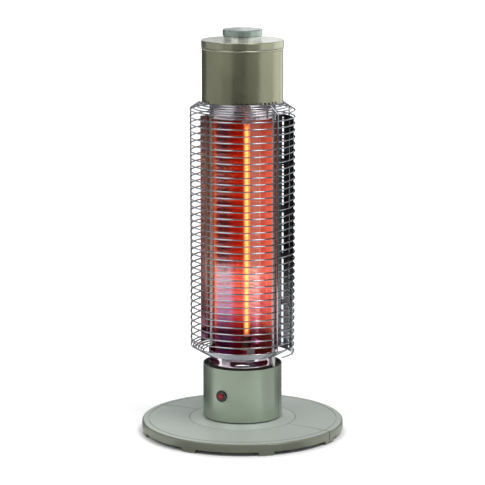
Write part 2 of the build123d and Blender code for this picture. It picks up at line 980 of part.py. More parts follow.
upright_top = shoulder_route(top_shoulder[-2], last_ring_height)
side_foot = shoulder_route(bottom_shoulder[-1], first_ring_height)[::-1]
rear_foot = [(upright_radius, rear_arc_height - rear_upright_tail)]


def upright(bearing, foot):
    """Bent round wire at a bearing, from the points of its foot to the upper shoulder."""
    with BuildLine(radial_plane(bearing)) as route:
        FilletPolyline(*foot, *upright_top, radius=weld_inset)
    with BuildSketch(Plane(origin=route.line @ 0, z_dir=route.line % 0)) as wire:
        Circle(upright_wire / 2)
    sweep(sections=wire.sketch, path=route.line)


with BuildPart() as guard_uprights:
    for bearing in side_upright_angles:
        upright(bearing, side_foot)
    for bearing in rear_upright_angles:
        upright(bearing, rear_foot)
save(guard_uprights, "guard_uprights")

# Rear sheet: part of a cylinder inside the rings, with rows of upright slots
rear_sheet_outer = guard_radius - ring_wire / 2 - rear_sheet_gap
rear_sheet_bottom = rear_arc_height - rear_sheet_tail
rear_sheet_top = last_ring_height - rear_sheet_top_margin
rear_row_pitch = (rear_sheet_top - rear_sheet_bottom) / rear_slot_rows
rear_slot_length = rear_row_pitch - rear_slot_bridge
rear_cut_depth = 3 * rear_sheet_wall
with BuildPart() as rear_sheet:
    sector_ring(
        rear_sheet_outer - rear_sheet_wall,
        rear_sheet_outer,
        rear_sheet_bottom,
        rear_sheet_top,
        rear_angle - rear_sheet_half_angle,
        2 * rear_sheet_half_angle,
    )
    for column in range(rear_slot_columns):
        bearing = rear_angle + (column - (rear_slot_columns - 1) / 2) * rear_slot_column_angle
        for row in range(rear_slot_rows):
            middle = rear_sheet_bottom + (row + 0.5) * rear_row_pitch
            with BuildSketch(facing_plane(bearing, rear_sheet_outer + rear_sheet_wall, middle)):
                SlotOverall(rear_slot_length, rear_slot_width, rotation=90)
            extrude(amount=-rear_cut_depth, mode=Mode.SUBTRACT)
save(rear_sheet, "rear_sheet")

# Head floor and shells
head_floor_radius = head_inner - plate_fit
with BuildPart() as head_floor:
    disc(0, head_floor_radius, head_floor_bottom, head_floor_top)
    disc(
        head_floor_radius - sheet_plate,
        head_floor_radius,
        head_floor_bottom,
        head_floor_top + flange_height,
    )
    radial_screw_holes(head_radius, 3 * shell_wall, head_screw_height, rear_screw_bearings)
save(head_floor, "head_floor")


# Front shell with a row of notches along its lower edge at each side
with BuildPart() as head_front:
    sector_ring(
        head_inner, head_radius, head_bottom, head_shell_top, front_start, front_sweep
    )
    edge_vent_angle = degrees(edge_vent_width / head_radius)
    for side in (-1, 1):
        for i in range(edge_vent_count):
            bearing = front_angle + side * (edge_vent_first_angle + i * edge_vent_pitch_angle)
            sector_ring(
                head_inner - shell_wall,
                head_radius + shell_wall,
                head_bottom - edge_vent_height,
                head_bottom + edge_vent_height,
                bearing - edge_vent_angle / 2,
                edge_vent_angle,
                mode=Mode.SUBTRACT,
            )
save(head_front, "head_front")

with BuildPart() as head_rear:
    sector_ring(
        head_inner, head_radius, head_bottom, head_shell_top, rear_start, rear_sweep
    )
    radial_screw_holes(head_radius, 2 * shell_wall, head_screw_height, rear_screw_bearings)
save(head_rear, "head_rear")

# Bead between the shells and the cap
with BuildPart() as head_trim_ring:
    disc(
        head_radius - trim_ring_depth,
        head_radius + trim_ring_proud,
        head_shell_top,
        trim_ring_top,
    )
    rim = head_trim_ring.edges().filter_by(GeomType.CIRCLE).group_by(SortBy.RADIUS)[-1]
    fillet(rim, radius=trim_ring_round)
save(head_trim_ring, "head_trim_ring")

# Cap: band, top plate and the raised seat of the knob, with a lip that stands on the bead
cap_radius = head_radius + cap_proud
cap_lip_outer = head_radius - cap_groove
shaft_hole = bushing_radius + shaft_fit
with BuildPart() as head_cap:
    disc(0, cap_radius, cap_bottom, cap_top)
    fillet(head_cap.faces().sort_by(Axis.Z)[-1].edges(), radius=cap_edge)
    disc(0, cap_lip_outer, trim_ring_top, cap_bottom + cap_wall)
    disc(0, cap_lip_outer - cap_wall, trim_ring_top, cap_top - cap_wall, mode=Mode.SUBTRACT)
    disc(0, knob_seat_radius, cap_top - cap_wall, cap_top + knob_seat_height)
    disc(
        0,
        knob_seat_radius - cap_wall,
        cap_top - cap_wall,
        cap_top + knob_seat_height - cap_wall,
        mode=Mode.SUBTRACT,
    )
    round_pins(
        [(0, 0, cap_bottom)], shaft_hole, 2 * cap_height + knob_seat_height, Mode.SUBTRACT
    )
save(head_cap, "head_cap")

# Rotary switch under the knob seat, and the shaft that turns in it
switch_top_face = cap_top + knob_seat_height - cap_wall
bushing_top = switch_top_face + cap_wall
shaft_bottom = switch_top_face - switch_height + switch_base
shaft_top = knob_bottom + shaft_engagement
shaft_bore = shaft_radius + shaft_fit
with BuildPart() as rotary_switch:
    round_pins([(0, 0, switch_top_face - switch_height)], switch_radius, switch_height)
    round_pins([(0, 0, switch_top_face)], bushing_radius, bushing_top - switch_top_face)
    round_pins(
        [(0, 0, shaft_bottom - shaft_fit)],
        shaft_bore,
        bushing_top - shaft_bottom + shaft_engagement,
        mode=Mode.SUBTRACT,
    )
save(rotary_switch, "rotary_switch")

with BuildPart() as switch_shaft:
    round_pins([(0, 0, shaft_bottom)], shaft_radius, shaft_top - shaft_bottom)
save(switch_shaft, "switch_shaft")

# Knob: turned disc with a rim wall, a socket for the shaft and a dot let into its top
with BuildPart() as knob:
    round_pins([(0, 0, knob_bottom)], knob_radius, knob_height)
    chamfer(knob.faces().sort_by(Axis.Z)[-1].edges(), length=knob_edge)
    disc(
        shaft_bore + knob_socket_wall,
        knob_radius - knob_socket_wall,
        knob_bottom,
        knob_top - knob_socket_wall,
        mode=Mode.SUBTRACT,
    )
    round_pins([(0, 0, knob_bottom)], shaft_bore, shaft_engagement, mode=Mode.SUBTRACT)
    round_pins(
        around(pointer_offset, (rear_angle,), knob_top - pointer_depth),
        pointer_radius,
        pointer_depth,
        mode=Mode.SUBTRACT,
    )
save(knob, "knob")

with BuildPart() as knob_pointer:
    round_pins(
        around(pointer_offset, (rear_angle,), knob_top - pointer_depth),
        pointer_radius,
        pointer_depth / 2,
    )
save(knob_pointer, "knob_pointer")

# Safety thermostat on the floor of the head
with BuildPart() as thermal_cutout:
    round_pins([(0, cutout_offset, head_floor_top)], cutout_radius, cutout_height)
    with BuildSketch(Plane.XY.offset(head_floor_top)):
        with Locations((0, cutout_offset)):
            Rectangle(3 * cutout_radius, cutout_radius)
    extrude(amount=cutout_tab)
save(thermal_cutout, "thermal_cutout")


# Screws of the rear covers: two at the column's floor, two at its deck and two at the head's floor
with BuildPart() as rear_screws:
    for radius, height in (
        (column_radius, floor_screw_height),
        (column_radius, deck_screw_height),
        (head_radius, head_screw_height),
    ):
        for bearing in rear_screw_bearings:
            seat = facing_plane(bearing, radius + screw_clearance, height)
            with BuildSketch(seat):
                Circle(screw_head_radius)
            extrude(amount=screw_head_height)
            with BuildSketch(seat):
                Circle(screw_radius)
            extrude(amount=-3 * shell_wall)
save(rear_screws, "rear_screws")
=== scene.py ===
# %% [markdown]
# # A radiant tower heater in Blender
# The heater comes in as a fixed frame: every solid already stands at its real place, in metres, with
# +Z up and the front towards -Y. Blender adds what the solids can't hold: finishes, the glowing
# rope in the lamp, the recesses of the screws, light and camera. We load the frame first and keep
# its box.

# %% Load the frame
from math import cos, pi, radians, sin, tau

import bmesh
import bpy
from mathutils import Matrix, Vector


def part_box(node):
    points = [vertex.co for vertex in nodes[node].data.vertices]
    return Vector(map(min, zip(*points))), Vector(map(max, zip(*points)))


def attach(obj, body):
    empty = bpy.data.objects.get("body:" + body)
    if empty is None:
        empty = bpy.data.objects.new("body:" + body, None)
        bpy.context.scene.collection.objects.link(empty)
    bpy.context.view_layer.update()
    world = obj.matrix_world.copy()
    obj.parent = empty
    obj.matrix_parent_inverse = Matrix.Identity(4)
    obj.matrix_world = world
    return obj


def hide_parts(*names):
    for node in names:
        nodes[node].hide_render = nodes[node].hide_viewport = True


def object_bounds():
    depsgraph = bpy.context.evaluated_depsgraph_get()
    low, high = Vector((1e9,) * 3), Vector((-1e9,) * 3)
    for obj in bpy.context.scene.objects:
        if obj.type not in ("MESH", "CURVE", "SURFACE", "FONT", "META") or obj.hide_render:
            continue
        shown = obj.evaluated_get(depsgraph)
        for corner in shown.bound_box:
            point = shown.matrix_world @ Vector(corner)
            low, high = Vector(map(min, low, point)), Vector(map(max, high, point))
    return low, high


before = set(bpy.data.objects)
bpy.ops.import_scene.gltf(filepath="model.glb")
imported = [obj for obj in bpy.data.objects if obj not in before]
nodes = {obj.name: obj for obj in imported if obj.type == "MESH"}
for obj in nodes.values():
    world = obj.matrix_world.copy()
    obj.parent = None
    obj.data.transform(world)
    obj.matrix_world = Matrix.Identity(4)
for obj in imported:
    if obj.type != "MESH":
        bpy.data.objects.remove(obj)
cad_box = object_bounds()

print("solids:", len(nodes), "box:", [tuple(round(v, 4) for v in corner) for corner in cad_box])

# %% [markdown]
# ## Camera
# The picture was taken from the heater's right front, a little above the head, with a long lens:
# the ellipses of the base and of the cap are flat and alike. A long lens far away gives that. We
# state where the camera stands round the heater, how far off and how high, and turn it down. In
# Blender a camera, a light or a mesh shows only through an object that is linked to the scene, so
# a small helper makes that object for everything we add.

# %% Camera
def add_object(name, data):
    """Put a camera, a light or a mesh into the scene as an object."""
    made = bpy.data.objects.new(name, data)
    bpy.context.scene.collection.objects.link(made)
    return made


camera_bearing = radians(31.6)
camera_distance = 3.43
camera_height = 0.94
camera_pitch = radians(10.66)
camera_data = bpy.data.cameras.new("heater_camera")
camera_data.lens = 169.8
camera_data.sensor_width = 36.0
camera_data.clip_end = 200.0
camera = add_object("heater_camera", camera_data)
camera.location = (
    camera_distance * sin(camera_bearing),
    -camera_distance * cos(camera_bearing),
    camera_height,
)
camera.rotation_euler = (pi / 2 - camera_pitch, 0.0, camera_bearing)
bpy.context.scene.camera = camera
print("camera at", [round(v, 3) for v in camera.location])

# %% [markdown]
# ## Small helpers for node trees
# Every finish is a node tree. Writing `tree.nodes.new` and `tree.links.new` for each node hides the
# idea behind the wiring. `add_node` makes a node and sets or links its inputs in one call, and the
# helpers after it stand for the nodes that come up most: a place on the object, one axis of it, a
# noise, a sum and a change of range. Each gives back the socket that the next node needs.

# %% Node helpers
def add_node(tree, kind, inputs=None, **settings):
    """Make a node, set its properties, and set or link its inputs by name or number."""
    made = tree.nodes.new(kind)
    for name, value in settings.items():
        setattr(made, name, value)
    for name, value in (inputs or {}).items():
        if isinstance(value, bpy.types.NodeSocket):
            tree.links.new(value, made.inputs[name])
        else:
            made.inputs[name].default_value = value
    return made


def object_place(tree):
    """Where a point lies on its object, in metres."""
    return add_node(tree, "ShaderNodeTexCoord").outputs["Object"]


def axis_value(tree, vector, axis):
    """X, Y or Z of a vector."""
    return add_node(tree, "ShaderNodeSeparateXYZ", {"Vector": vector}).outputs[axis]


def noise(tree, place, scale, detail):
    """Noise between 0 and 1."""
    inputs = {"Vector": place, "Scale": scale, "Detail": detail}
    return add_node(tree, "ShaderNodeTexNoise", inputs).outputs["Fac"]


def calculate(tree, operation, *values):
    """Sum, product or other operation on up to three values."""
    inputs = dict(enumerate(values))
    return add_node(tree, "ShaderNodeMath", inputs, operation=operation).outputs[0]


def change_range(tree, value, low, high, to_low=0.0, to_high=1.0, **settings):
    """Value between low and high as a value between two others, and no further."""
    inputs = {"Value": value, "From Min": low, "From Max": high, "To Min": to_low, "To Max": to_high}
    return add_node(tree, "ShaderNodeMapRange", inputs, **settings).outputs["Result"]


print("node helpers ready")

# %% [markdown]
# ## Helpers for groups and finishes
# An effect that several finishes share is a node group: it is built once, has named inputs, and each
# finish places it with its own values. A finish starts from Blender's Principled shader, and we write
# colours as a screen shows them, because that is how one reads them off a picture. At last a finish
# has to reach the solids of the frame, which only changes their material slots.

# %% Group and finish helpers
def new_group(name, inputs, outputs):
    """Make an empty shader group with typed sockets, and give its tree, input and output nodes."""
    group = bpy.data.node_groups.new(name, "ShaderNodeTree")
    for in_out, sockets in (("INPUT", inputs), ("OUTPUT", outputs)):
        for label, kind in sockets:
            group.interface.new_socket(
                name=label, in_out=in_out, socket_type=f"NodeSocket{kind}"
            )
    return group, group.nodes.new("NodeGroupInput"), group.nodes.new("NodeGroupOutput")


def place_group(tree, group, inputs):
    """Put a shared group into a material with that material's own values."""
    return add_node(tree, "ShaderNodeGroup", inputs, node_tree=group)


def new_finish(name, **principled):
    """Make a material and give it, its tree and its Principled shader with plain values set."""
    finish = bpy.data.materials.new(name)
    finish.use_nodes = True
    shader = finish.node_tree.nodes["Principled BSDF"]
    for socket, value in principled.items():
        shader.inputs[socket.replace("_", " ")].default_value = value
    return finish, finish.node_tree, shader


def srgb(red, green, blue):
    """Colour as it is seen on a screen, 0 to 255, as the linear colour that Blender mixes."""
    def linear(channel):
        c = channel / 255
        return c / 12.92 if c <= 0.04045 else ((c + 0.055) / 1.055) ** 2.4
    return (linear(red), linear(green), linear(blue), 1.0)


def dress(finish, *names):
    """Give a finish to CAD solids."""
    for name in names:
        mesh = nodes[name].data
        mesh.materials.clear()
        mesh.materials.append(finish)


print("group and finish helpers ready")

# %% [markdown]
# ## Shared effect: speckle
# Metallic paint and moulded plastic are never one flat colour. Seen close, flakes and pores lighten
# and darken the coat in grains of less than a millimetre, and larger clouds run through it where
# the spray was thicker. Two noise textures of different scale give both, and one group serves
# all coats with its own grain and depth.

# %% Speckle group
noise_mean = 0.5
speckle, given, result = new_group(
    "Speckle",
    [("Colour", "Color"), ("Grain", "Float"), ("Depth", "Float"), ("Clouds", "Float")],
    [("Colour", "Color"), ("Height", "Float")],
)
place = object_place(speckle)
fine = noise(speckle, place, given.outputs["Grain"], detail=3.0)
wide = noise(speckle, place, given.outputs["Clouds"], detail=2.0)
both = calculate(speckle, "ADD", fine, wide)
swing = calculate(speckle, "SUBTRACT", both, 2 * noise_mean)
gain = calculate(speckle, "MULTIPLY_ADD", swing, given.outputs["Depth"], 1.0)
tinted = add_node(
    speckle,
    "ShaderNodeVectorMath",
    {0: given.outputs["Colour"], "Scale": gain},
    operation="SCALE",
)
speckle.links.new(tinted.outputs["Vector"], result.inputs["Colour"])
speckle.links.new(fine, result.inputs["Height"])
print("group:", speckle.name)

# %% [markdown]
# ## Shared effect: handling marks
# A heater that is carried about has patches where hands and cloths have changed the gloss. The eye
# reads them only in the reflections, so the effect is a roughness that wanders slowly between two
# values. One group with a low and a high value serves paint, plastic and quartz alike.

# %% Handling group
marks_span = (0.35, 0.65)
handling, given, result = new_group(
    "Handling marks",
    [("Low", "Float"), ("High", "Float"), ("Scale", "Float")],
    [("Roughness", "Float")],
)
marks = noise(handling, object_place(handling), given.outputs["Scale"], detail=1.0)
gloss = change_range(handling, marks, *marks_span, given.outputs["Low"], given.outputs["High"])
handling.links.new(gloss, result.inputs["Roughness"])
print("group:", handling.name)

# %% [markdown]
# ## Shared effect: drawn lines
# Rolled sheet, drawn wire and brushed parts carry fine lines along the way they were worked. A noise
# texture stretched hard along one axis gives such lines. The stretch is an input, so that upright
# sheet, level plates and rods can each have their own direction.

# %% Drawn lines group
def product(tree, first, second):
    """Two vectors or colours multiplied part by part."""
    inputs = {0: first, 1: second}
    return add_node(tree, "ShaderNodeVectorMath", inputs, operation="MULTIPLY").outputs["Vector"]


lines_span = (0.3, 0.7)
drawn_lines, given, result = new_group(
    "Drawn lines",
    [("Stretch", "Vector"), ("Low", "Float"), ("High", "Float")],
    [("Roughness", "Float"), ("Height", "Float")],
)
stretched = product(drawn_lines, object_place(drawn_lines), given.outputs["Stretch"])
lines = noise(drawn_lines, stretched, scale=1.0, detail=4.0)
gloss = change_range(drawn_lines, lines, *lines_span, given.outputs["Low"], given.outputs["High"])
drawn_lines.links.new(gloss, result.inputs["Roughness"])
drawn_lines.links.new(lines, result.inputs["Height"])
print("group:", drawn_lines.name)

# %% [markdown]
# ## Satin paint of the column and the head
# The column and the head are sheet shells under one champagne metallic paint. A real coat of this
# kind is metal flake in a clear binder: the colour comes from a metallic layer, and it shows broad
# soft bands of the room. We use a high Metallic, a middling Roughness that wanders with the
# handling marks, the speckle for flake, and a thin bump so that the bands aren't ruled lines.

# %% Painted shells
def link_coat(tree, shader, colour, roughness, height, relief, depth):
    """Join a coat's colour, roughness and fine bump to its shader."""
    bump = add_node(
        tree, "ShaderNodeBump", {"Strength": relief, "Distance": depth, "Height": height}
    )
    tree.links.new(colour, shader.inputs["Base Color"])
    tree.links.new(roughness, shader.inputs["Roughness"])
    tree.links.new(bump.outputs["Normal"], shader.inputs["Normal"])


paint_metal = 0.85
paint_flake = {"Grain": 1400.0, "Depth": 0.05, "Clouds": 14.0}
paint_relief = 0.02
coat_depth = 0.0002


def speckled_coat(tree, shader, grains, marks, relief):
    """Coat whose colour and bump come from a placed speckle, and its gloss from handling marks."""
    grain = place_group(tree, speckle, grains)
    gloss = place_group(tree, handling, marks)
    link_coat(
        tree,
        shader,
        grain.outputs["Colour"],
        gloss.outputs["Roughness"],
        grain.outputs["Height"],
        relief,
        coat_depth,
    )


def satin_paint(name, colour, low, high):
    """Metallic paint with flake, clouds and handling marks."""
    finish, tree, shader = new_finish(name, Metallic=paint_metal)
    grains = {"Colour": colour, **paint_flake}
    marks = {"Low": low, "High": high, "Scale": 22.0}
    speckled_coat(tree, shader, grains, marks, paint_relief)
    return finish


shell_paint = satin_paint("champagne_paint", srgb(160, 161, 135), 0.21, 0.27)
column_paint = satin_paint("column_paint", srgb(151, 163, 147), 0.30, 0.40)
trim_paint = satin_paint("cap_paint", srgb(182, 184, 164), 0.18, 0.30)
dress(shell_paint, "head_front", "head_rear")
dress(column_paint, "column_front", "column_rear")
dress(trim_paint, "head_trim_ring")
print("painted shells:", shell_paint.name, column_paint.name, trim_paint.name)

# %% [markdown]
# ## Cap with a bright top plate, dial and base cover
# The band of the cap has the champagne paint, and its flat top is a polished plate with a boss for the
# dial, both painted paler than the band: on the level plate this is a painted highlight of the bright
# room above. The dial has a green-grey side and a greyer turned top. Each is one solid, so the
# material tells top from side: a face that looks straight up is top, and so is all that stands above
# the plate. The surface's own normal and place say that, whatever the camera does. The base cover is
# made the same way: its skirt is painted darker than its top, a painted shade on the upright rim.

# %% Cap, dial and base cover
def mix_colour(tree, factor, first, second):
    """Colour between two others, by a factor from 0 to 1. The Mix node repeats its socket names
    for each kind of data, so the colour ones go by number."""
    inputs = {0: factor, 6: first, 7: second}
    return add_node(tree, "ShaderNodeMix", inputs, data_type="RGBA").outputs[2]


level_span = (0.80, 0.97)
above_all = 1.0


def turned_finish(name, side, top, low, high, metallic, top_from=above_all):
    """Coat on a turned piece with its top's colour on level faces and above a height."""
    finish, tree, shader = new_finish(name, Metallic=metallic)
    normal = add_node(tree, "ShaderNodeNewGeometry").outputs["Normal"]
    flat = change_range(tree, axis_value(tree, normal, "Z"), *level_span)
    height = axis_value(tree, object_place(tree), "Z")
    above = calculate(tree, "GREATER_THAN", height, top_from)
    level = calculate(tree, "MAXIMUM", flat, above)
    grains = {"Colour": mix_colour(tree, level, side, top), **paint_flake}
    marks = {"Low": low, "High": high, "Scale": 30.0}
    speckled_coat(tree, shader, grains, marks, paint_relief)
    return finish


boss_height = 0.0055
plate_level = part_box("head_cap")[1][2] - boss_height
# Plate and boss are painted paler than the band: on the level plate a painted highlight of the bright
# room above.
cap_band, cap_plate_highlight = srgb(172, 174, 150), srgb(214, 218, 208)
dress(
    turned_finish("cap_band_and_highlit_plate", cap_band, cap_plate_highlight, 0.16, 0.26, 0.8, plate_level),
    "head_cap",
)
dial_side, dial_top = srgb(164, 178, 169), srgb(160, 171, 169)
dress(turned_finish("dial_coat", dial_side, dial_top, 0.18, 0.28, 0.7), "knob")
# The skirt is painted darker than the top: painted shade on the upright rim.
base_skirt_shade, base_top = srgb(116, 120, 106), srgb(195, 204, 197)
dress(
    turned_finish("base_coat_with_shaded_skirt", base_skirt_shade, base_top, 0.36, 0.46, 0.42),
    "base_front",
    "base_rear",
    "base_hub",
)
print("cap, dial and base dressed, plate at", round(plate_level, 4))

# %% [markdown]
# ## Moulded and enamelled pieces
# Feet, washers, switch bodies and lamp holders are moulded or fired: a body of one colour with a fine
# grain that breaks up the light close to. One function takes the colour, the two roughness values and
# the depth of the grain, and the speckle group gives both the colour's grain and the bump. The lower
# lamp holder is coloured a reddish black: painted shade, for it stands in the shade below the lamp.

# %% Moulded pieces
moulded_relief = 0.12


def moulded(name, colour, low, high, depth=0.10):
    """Moulded or fired body with a fine grain."""
    finish, tree, shader = new_finish(name)
    grains = {"Colour": colour, "Grain": 1800.0, "Depth": depth, "Clouds": 9.0}
    marks = {"Low": low, "High": high, "Scale": 18.0}
    speckled_coat(tree, shader, grains, marks, moulded_relief)
    return finish


dress(
    moulded("inner_plastic", srgb(38, 38, 39), 0.42, 0.58),
    "tipover_switch",
    "rotary_switch",
    "pilot_lamp",
)
dress(
    moulded("white_nylon", srgb(224, 223, 214), 0.40, 0.52),
    "thrust_washer",
    "tipover_plunger",
    "terminal_block",
)
dress(moulded("black_rubber", srgb(34, 34, 34), 0.65, 0.80, 0.25), "rubber_feet", "cord_gland")
dress(moulded("black_enamel", srgb(26, 26, 27), 0.28, 0.42), "head_floor")
dress(moulded("pointer_black", srgb(18, 18, 18), 0.35, 0.45), "knob_pointer")
dress(moulded("bezel_black", srgb(22, 17, 17), 0.12, 0.24, 0.05), "pilot_bezel")
dress(moulded("lamp_ceramic", srgb(176, 160, 152), 0.45, 0.60, 0.14), "upper_holder")
# Lower holder: reddish black, painted shade below the lamp.
dress(moulded("lower_ceramic_painted_shade", srgb(54, 18, 24), 0.35, 0.50, 0.20), "lower_holder")
print("moulded pieces dressed")

# %% [markdown]
# ## Bright metal
# Wires, posts, collars and plates are all bare metal and differ in how they were worked. The collars
# also carry a faint pink tint: a painted reflection of the lamp's red light. Chrome wire is nearly a
# mirror, drawn rod shows faint lines along its length, and zinc-plated steel is duller. One function
# takes the colour, the direction of the lines and the two roughness values.

# %% Metal finishes
metal_relief = 0.03
metal_depth = 0.0001


def worked_metal(tree, shader, grains, stretch, low, high, relief):
    """Metal whose colour comes from a placed speckle, and its gloss and bump from drawn lines."""
    grain = place_group(tree, speckle, grains)
    work = place_group(tree, drawn_lines, {"Stretch": stretch, "Low": low, "High": high})
    link_coat(
        tree,
        shader,
        grain.outputs["Colour"],
        work.outputs["Roughness"],
        work.outputs["Height"],
        relief,
        metal_depth,
    )


def bare_metal(name, colour, stretch, low, high, relief=metal_relief):
    """Metal with lines along the way it was drawn or rolled."""
    finish, tree, shader = new_finish(name, Metallic=1.0)
    grains = {"Colour": colour, "Grain": 700.0, "Depth": 0.06, "Clouds": 20.0}
    worked_metal(tree, shader, grains, stretch, low, high, relief)
    return finish


level_lines = (60.0, 60.0, 900.0)
upright_lines = (900.0, 900.0, 30.0)
cross_lines = (900.0, 40.0, 40.0)
dress(
    bare_metal("chrome_wire", srgb(182, 184, 190), level_lines, 0.05, 0.14),
    "guard_rings_low",
    "guard_rings_middle",
    "guard_rings_high",
    "guard_uprights",
)
# The collars' pink tint is a painted reflection of the lamp's red light.
dress(
    bare_metal("collar_chrome", srgb(222, 212, 219), level_lines, 0.06, 0.14),
    "lower_collar",
    "upper_collar",
)
dress(
    bare_metal("post_steel", srgb(206, 207, 202), upright_lines, 0.30, 0.42),
    "post_left",
    "post_right",
)
dress(
    bare_metal("zinc_steel", srgb(176, 178, 180), cross_lines, 0.25, 0.45, relief=0.08),
    "base_plate",
    "column_floor",
    "column_deck",
    "swivel_retainer",
    "lamp_bracket",
    "lamp_hanger",
    "switch_shaft",
    "thermal_cutout",
    "base_screws",
    "hub_screws",
    "retainer_screws",
    "rear_screws",
)
print("metal finishes ready")

# %% [markdown]
# ## Reflector and rear sheet
# The trough behind the lamp is bright rolled aluminium. Heat has coloured it: a pale straw over most
# of its height, violet at the foot, where it stays cooler and dust bakes on, and duller at the top.
# The slotted sheet at the back is painted dark above its foot and pale at its foot: painted shade above
# and a painted reflection at the foot. A colour ramp over the height gives the tint, and a slow noise
# moves its edges so that the bands aren't ruled. The sheets themselves stay mirrors, so that the glow,
# the rings and the room show in them.

# %% Heated and shaded sheets
def colour_ramp(tree, factor, colours):
    """Colour ramp with the given positions and colours."""
    ramp = add_node(tree, "ShaderNodeValToRGB", {"Fac": factor})
    stops = ramp.color_ramp.elements
    while len(stops) < len(colours):
        stops.new(0.5)
    for stop, (position, colour) in zip(stops, colours):
        stop.position = position
        stop.color = colour
    return ramp.outputs["Color"]


wander_reach = 0.03
wander_mean = wander_reach * noise_mean


def heat_and_shade_sheet(name, colours, low, high):
    """Rolled bright sheet with colours along its height: heat colours on the trough, painted shade and
    a painted reflection on the rear sheet.
    """
    finish, tree, shader = new_finish(name, Metallic=1.0)
    bottom, top = (corner[2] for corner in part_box("reflector"))
    place = object_place(tree)
    wander = noise(tree, place, scale=30.0, detail=3.0)
    height = axis_value(tree, place, "Z")
    moved = calculate(tree, "MULTIPLY_ADD", wander, wander_reach, height)
    share = change_range(tree, moved, bottom + wander_mean, top + wander_mean)
    tint = colour_ramp(tree, share, colours)
    grains = {"Colour": tint, "Grain": 500.0, "Depth": 0.08, "Clouds": 25.0}
    worked_metal(tree, shader, grains, upright_lines, low, high, metal_relief)
    return finish


trough_heat = [
    (0.0, srgb(150, 74, 158)),
    (0.16, srgb(160, 116, 150)),
    (0.36, srgb(206, 188, 184)),
    (0.80, srgb(218, 204, 196)),
    (1.0, srgb(186, 170, 170)),
]
# Rear sheet: painted shade above the foot, and a lighter painted reflection at the foot.
rear_sheet_shading = [
    (0.0, srgb(196, 198, 204)),
    (0.2, srgb(166, 168, 171)),
    (0.4, srgb(72, 72, 75)),
    (1.0, srgb(74, 75, 79)),
]
trough_sheet = heat_and_shade_sheet("reflector_sheet", trough_heat, 0.06, 0.13)
dress(trough_sheet, "reflector")
dress(heat_and_shade_sheet("rear_sheet_painted_shade", rear_sheet_shading, 0.10, 0.22), "rear_sheet")
print("reflector and rear sheet dressed")

# %% [markdown]
# ## Red light on the reflector
# The lamp's red light scatters in the skin of the sheet, most beside the lamp and along the lips, where
# it strikes flat. A mirror shader can't show that, so the sheet gets a weak glow of its own. A ramp
# from the left edge to the right one gives the stripes, and a second one over the height ends the
# glow where the lamp ends. A third ramp tints what the mirror shows: orange beside the lamp.

# %% Scattered red light
def scattered_glow(finish, across, along, tint):
    """Weak emission on a sheet, from left to right and by the height, and a tint."""
    tree = finish.node_tree
    shader = tree.nodes["Principled BSDF"]
    low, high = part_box("reflector")
    place = object_place(tree)
    sideways = change_range(tree, axis_value(tree, place, "X"), low[0], high[0])
    upward = change_range(tree, axis_value(tree, place, "Z"), low[2], high[2])
    glow = product(tree, colour_ramp(tree, sideways, across), colour_ramp(tree, upward, along))
    bare = shader.inputs["Base Color"].links[0].from_socket
    tinted = product(tree, bare, colour_ramp(tree, sideways, tint))
    shader.inputs["Emission Strength"].default_value = 1.0
    tree.links.new(glow, shader.inputs["Emission Color"])
    tree.links.new(tinted, shader.inputs["Base Color"])


def grey(value):
    """Grey of one value."""
    return (value, value, value, 1.0)


glow_across = [
    (0.0, (0.05, 0.020, 0.014, 1)),
    (0.117, (0.06, 0.014, 0.008, 1)),
    (0.132, (0.70, 0.060, 0.010, 1)),
    (0.15, (0.10, 0.002, 0.002, 1)),
    (0.17, (0.03, 0.001, 0.003, 1)),
    (0.215, (0.05, 0.001, 0.002, 1)),
    (0.25, (0.17, 0.002, 0.001, 1)),
    (0.30, (0.29, 0.005, 0.001, 1)),
    (0.35, (0.33, 0.008, 0.002, 1)),
    (0.39, (0.44, 0.044, 0.018, 1)),
    (0.60, (0.42, 0.056, 0.024, 1)),
    (0.84, (0.33, 0.060, 0.028, 1)),
    (0.868, (0.60, 0.060, 0.010, 1)),
    (0.883, (0.06, 0.014, 0.008, 1)),
    (1.0, (0.05, 0.020, 0.014, 1)),
]
glow_along = [
    (0.02, grey(0.04)),
    (0.13, grey(0.16)),
    (0.17, grey(1.0)),
    (0.5, grey(1.0)),
    (0.93, grey(0.7)),
    (1.0, grey(0.1)),
]
glow_tint = [
    (0.0, (1.0, 0.96, 0.90, 1)),
    (0.115, (1.0, 0.96, 0.90, 1)),
    (0.132, (1.0, 0.40, 0.25, 1)),
    (0.15, (0.92, 0.80, 0.92, 1)),
    (0.25, (0.84, 0.76, 0.94, 1)),
    (0.29, (1.0, 0.30, 0.22, 1)),
    (0.36, (1.0, 0.26, 0.18, 1)),
    (0.39, (1.0, 0.74, 0.68, 1)),
    (0.60, (1.0, 0.74, 0.68, 1)),
    (1.0, (1.0, 0.80, 0.74, 1)),
]
scattered_glow(trough_sheet, glow_across, glow_along, glow_tint)
print("glow on", trough_sheet.name)

# %% [markdown]
# ## Pilot lens
# The pilot lamp is a domed red lens in a black bezel. Dark red plastic lets a little light through,
# so the finish is a deep red with some transmission, a low roughness for the highlight and a faint
# glow of its own. Both the red and the glow fade from the middle to the rim, by the distance.

# %% Pilot lens
def distance(tree, place, centre):
    """Distance of a place from a centre."""
    inputs = {0: place, 1: centre}
    return add_node(tree, "ShaderNodeVectorMath", inputs, operation="DISTANCE").outputs["Value"]


